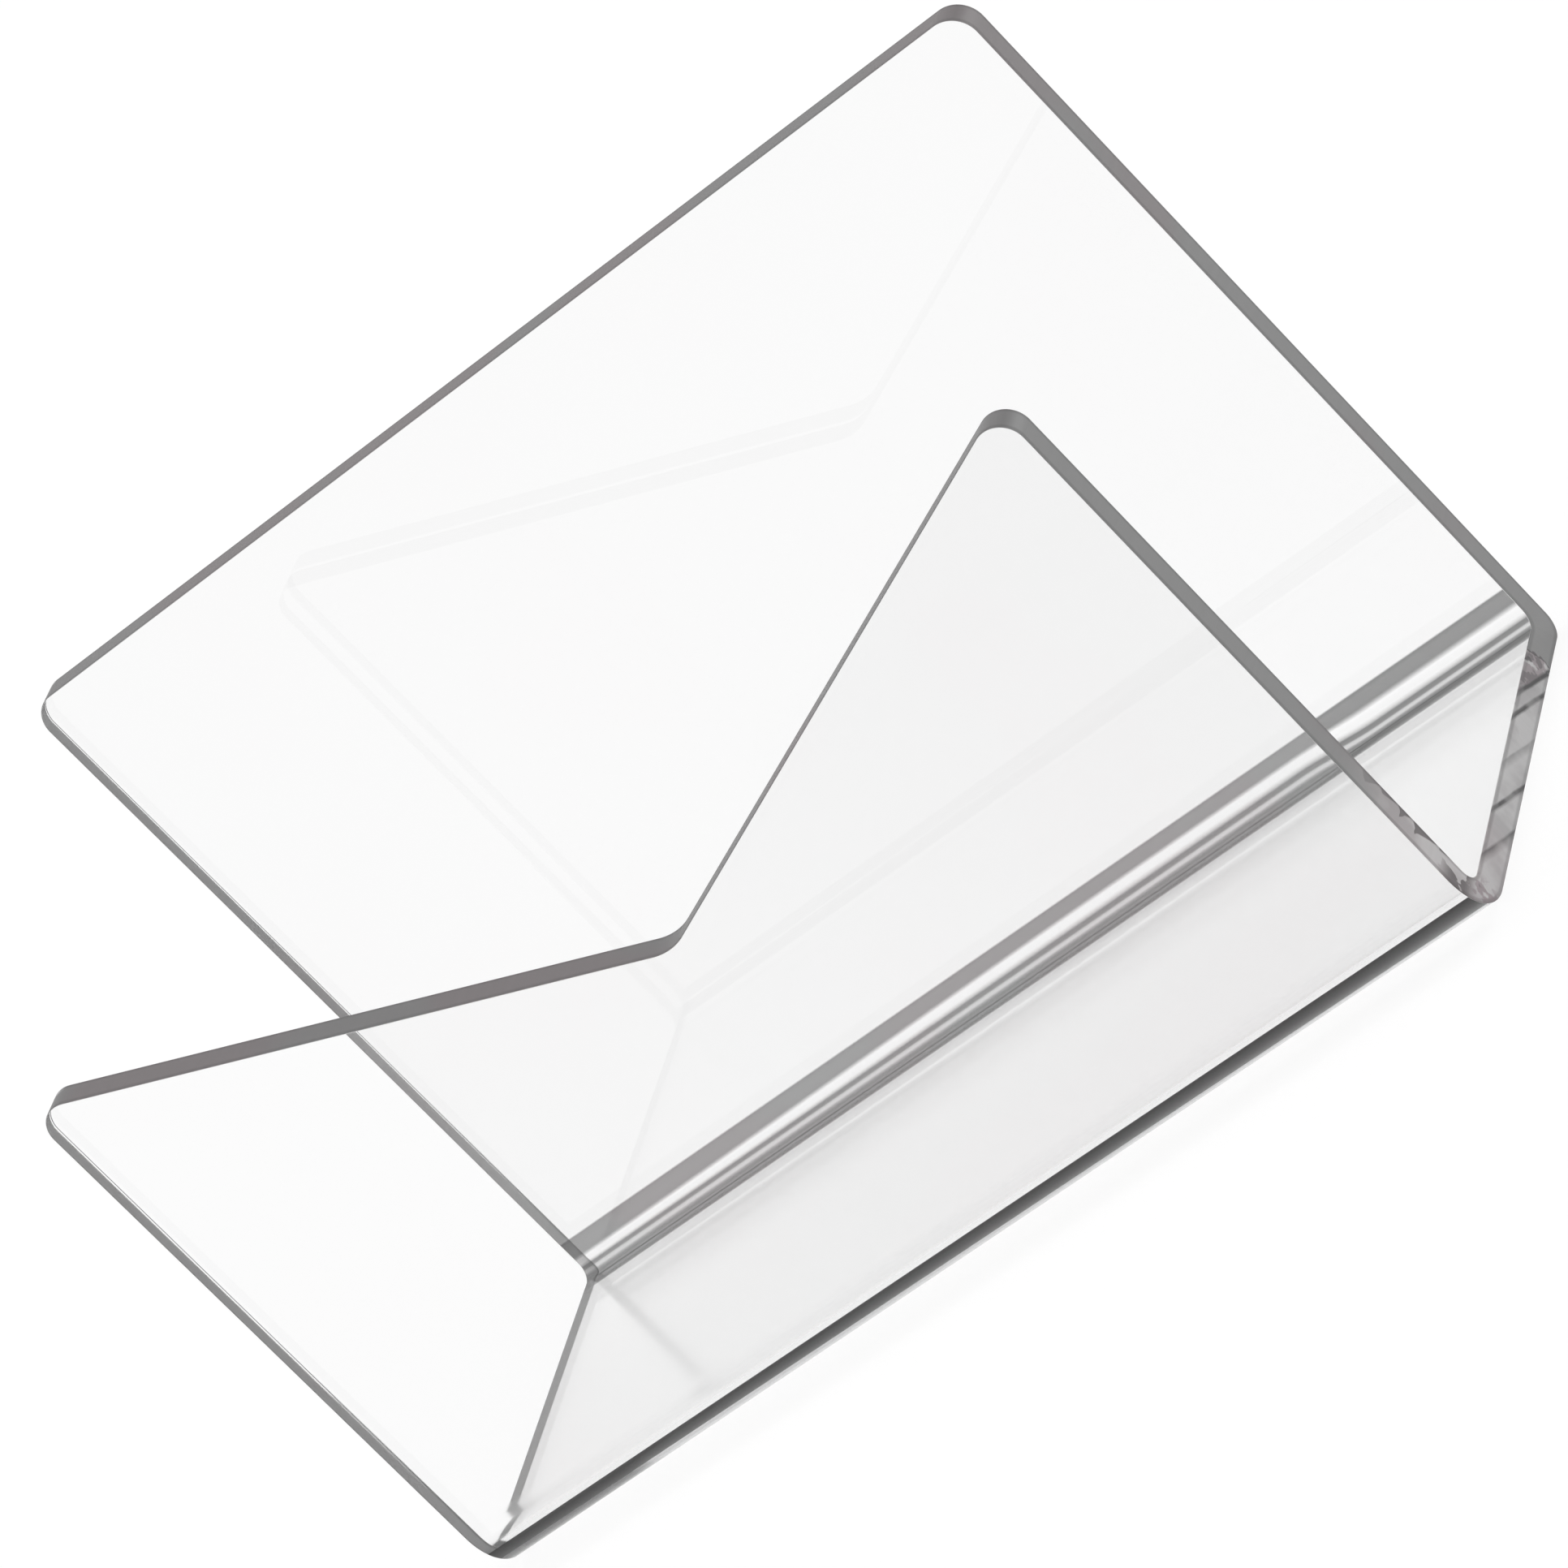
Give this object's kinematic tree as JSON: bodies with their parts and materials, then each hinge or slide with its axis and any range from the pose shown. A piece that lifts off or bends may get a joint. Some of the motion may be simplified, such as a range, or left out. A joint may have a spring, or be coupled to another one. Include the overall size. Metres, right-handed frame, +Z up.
{
  "type": "mail organizer",
  "caption": "Clear acrylic desk mail organizer bent from sheet: tall back panel, flat base and a lower front panel cut to a wide V, for letters and cards standing on edge.",
  "frame": {"origin": "middle of the base's underside, on the surface that the part stands on", "axes": "+X along the width, to the right as seen from the front; +Y from the low V-cut front panel to the tall back panel; +Z up"},
  "size_m": [0.19, 0.081, 0.1285],
  "materials": {
    "clear_acrylic": "clear colourless acrylic sheet, glossy faces, polished cut edges that look grey along their length"
  },
  "bodies": {
    "root": {"bent_sheet": "clear_acrylic"}
  },
  "joints": []
}
